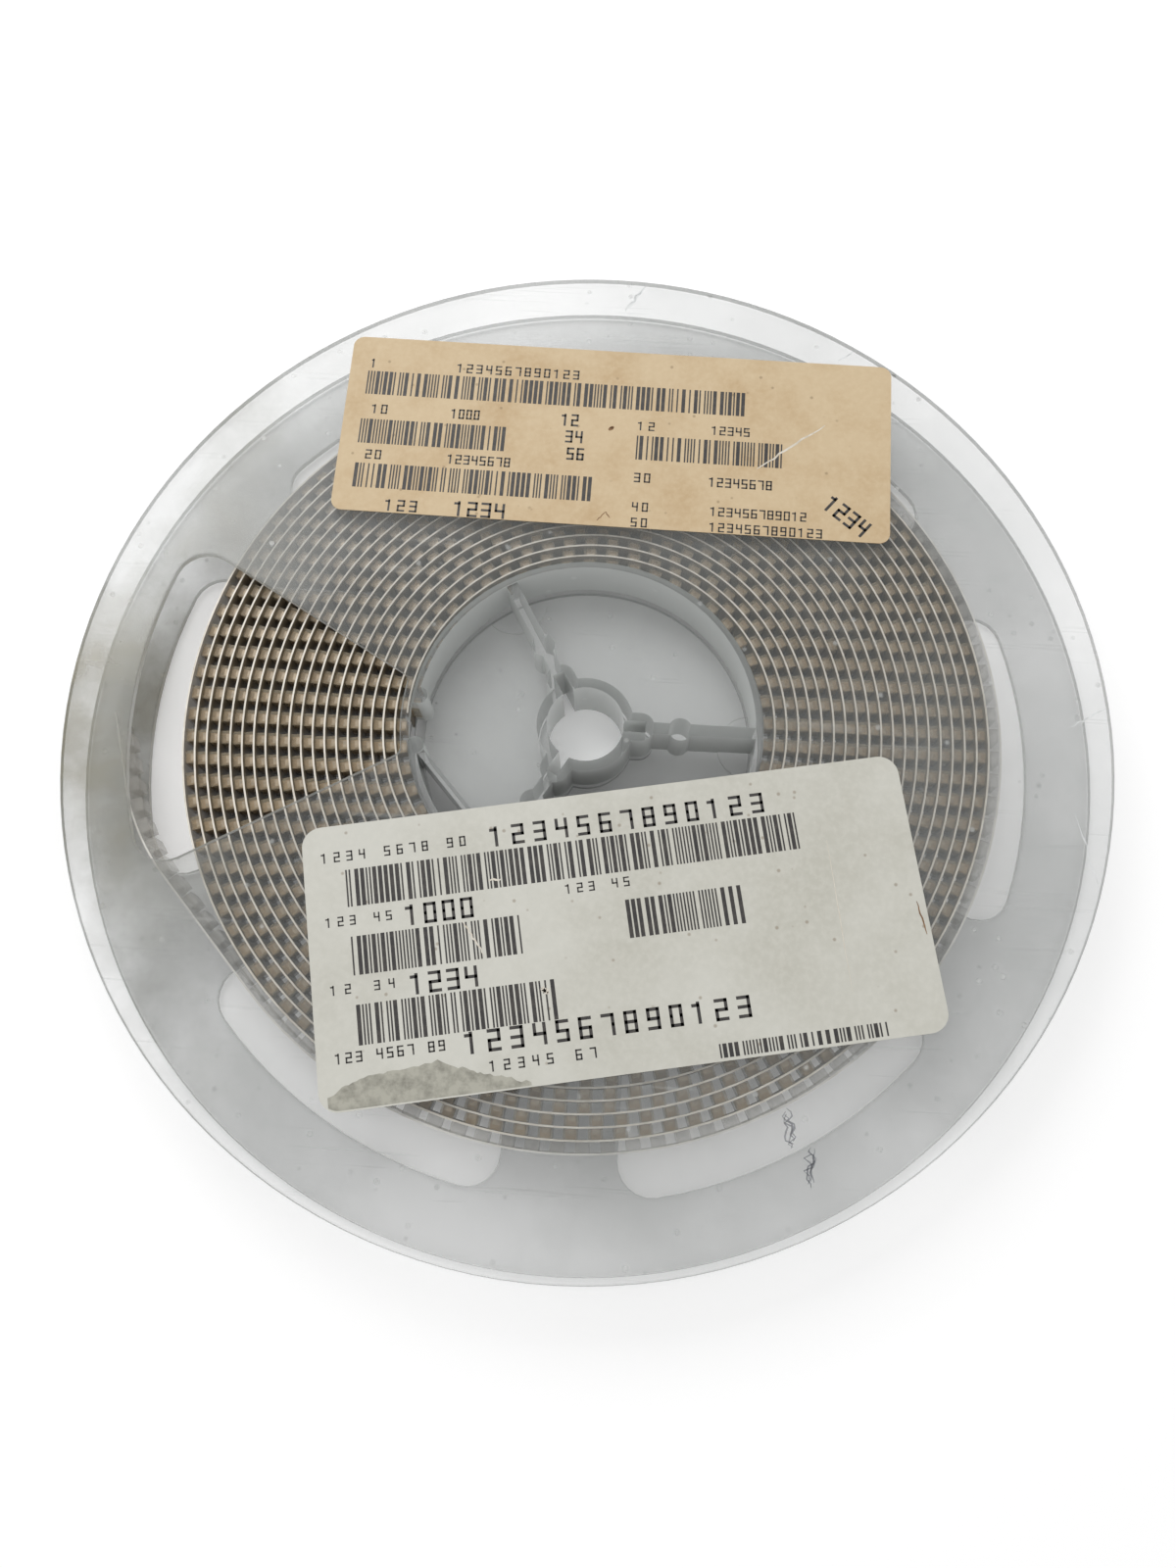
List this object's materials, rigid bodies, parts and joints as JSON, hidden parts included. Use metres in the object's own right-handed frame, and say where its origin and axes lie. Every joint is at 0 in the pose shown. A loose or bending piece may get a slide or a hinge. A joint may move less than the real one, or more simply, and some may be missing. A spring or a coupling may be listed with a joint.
{
  "type": "smd tape reel",
  "caption": "Clear plastic reel wound with embossed tape that carries small surface mount capacitors, with labels on its front flange.",
  "frame": {"origin": "on the arbor axis, at the outer face of the back flange, on which the reel lies", "axes": "+Z along the arbor axis to the front, +X along one of the three hub ribs, to the right in the picture"},
  "size_m": [0.178, 0.178, 0.012],
  "materials": {
    "clear_back": "clear polystyrene, lightly scuffed",
    "clear_front": "clear polystyrene, lightly scuffed",
    "tape_plastic": "clear embossed tape over tan chips",
    "moulded_resin": "tan moulded resin",
    "tinned_metal": "tinned metal",
    "aged_paper": "yellowed paper label with black print",
    "white_paper": "off-white paper label with black print, torn at one corner"
  },
  "bodies": {
    "root": {"hub_and_back_flange": "clear_back", "front_flange": "clear_front", "carrier_tape": "tape_plastic", "capacitor_bodies": "moulded_resin", "capacitor_terminals": "tinned_metal", "aged_label": "aged_paper", "white_label": "white_paper"}
  },
  "joints": []
}
